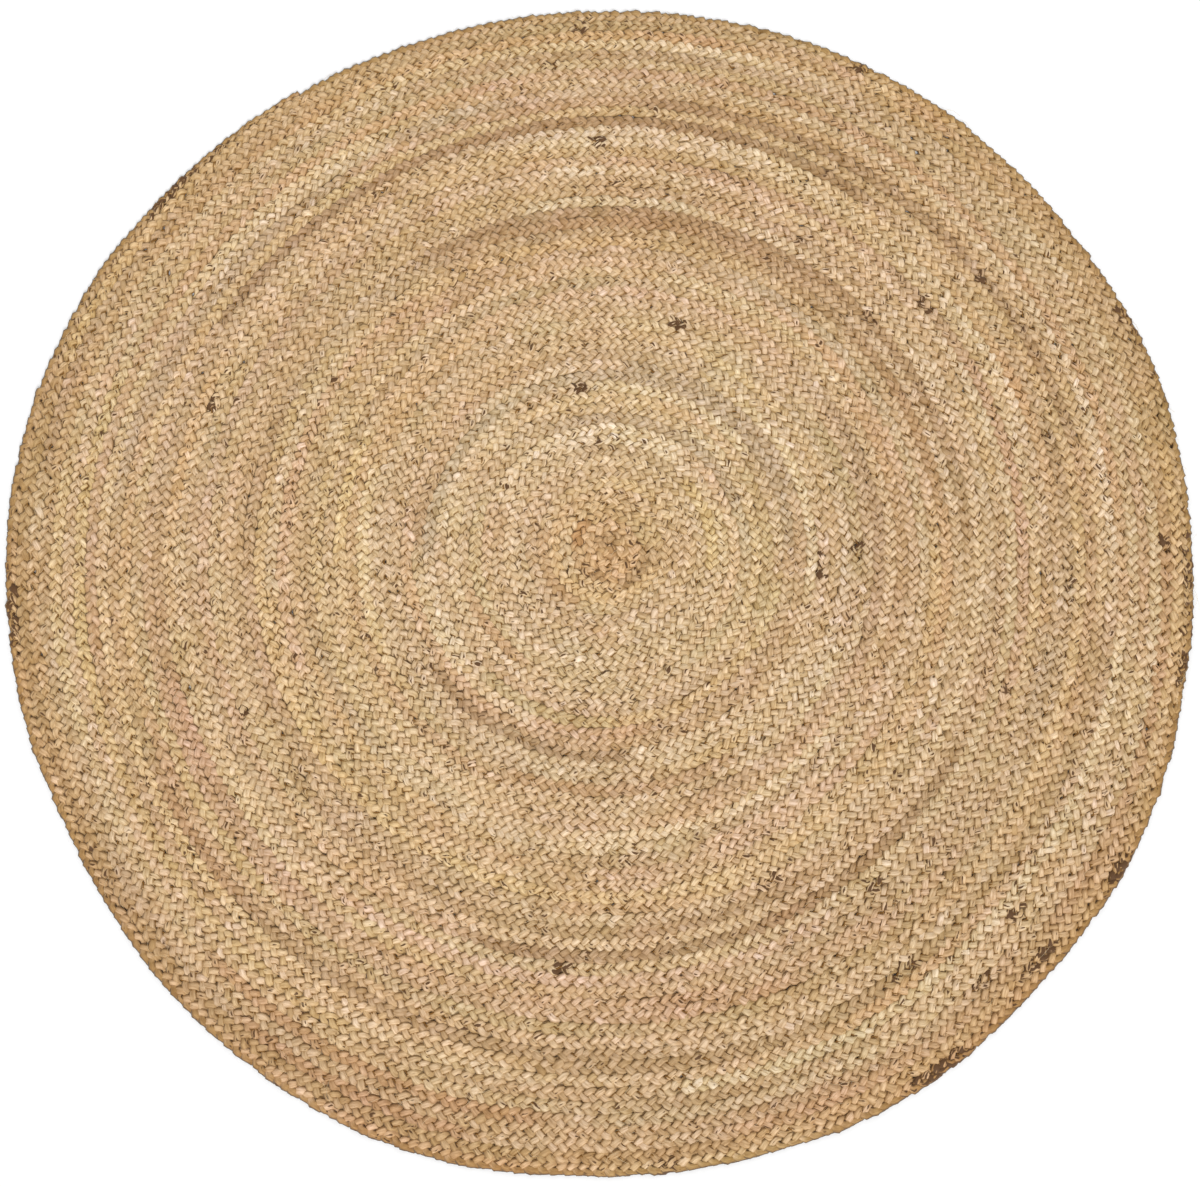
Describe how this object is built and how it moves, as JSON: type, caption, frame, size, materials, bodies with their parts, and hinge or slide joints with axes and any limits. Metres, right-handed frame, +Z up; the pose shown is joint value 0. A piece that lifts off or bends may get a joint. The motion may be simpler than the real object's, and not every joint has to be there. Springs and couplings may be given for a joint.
{
  "type": "area rug",
  "caption": "Round flat rug made of one three-strand jute plait laid in a spiral coil and sewn edge to edge, for use on a floor.",
  "frame": {"origin": "middle of the rug's box, on the floor plane under it", "axes": "+Z up, out of the rug's upper face; +X to the right and +Y to the far side as the rug is first seen; the coil's eye lies about 12 mm right of the origin"},
  "size_m": [1.829, 1.8203, 0.0095],
  "materials": {
    "jute_plait": "undyed jute fibre, loosely twisted and plaited, matt with a faint fibre sheen",
    "sewing_thread": "two-ply jute sewing thread, matt"
  },
  "bodies": {
    "root": {"coil_eye": "jute_plait", "plait_length_01": "jute_plait", "plait_length_02": "jute_plait", "plait_length_03": "jute_plait", "plait_length_04": "jute_plait", "plait_length_05": "jute_plait", "plait_length_06": "jute_plait", "plait_length_07": "jute_plait", "plait_length_08": "jute_plait", "plait_length_09": "jute_plait", "plait_length_10": "jute_plait", "plait_length_11": "jute_plait", "plait_length_12": "jute_plait", "plait_tail": "jute_plait", "seam_thread_01": "sewing_thread", "seam_thread_02": "sewing_thread", "seam_thread_03": "sewing_thread", "seam_thread_04": "sewing_thread", "seam_thread_05": "sewing_thread", "seam_thread_06": "sewing_thread", "seam_thread_07": "sewing_thread", "seam_thread_08": "sewing_thread", "seam_thread_09": "sewing_thread", "seam_thread_10": "sewing_thread", "seam_thread_11": "sewing_thread", "seam_thread_12": "sewing_thread", "tail_thread": "sewing_thread"}
  },
  "joints": []
}
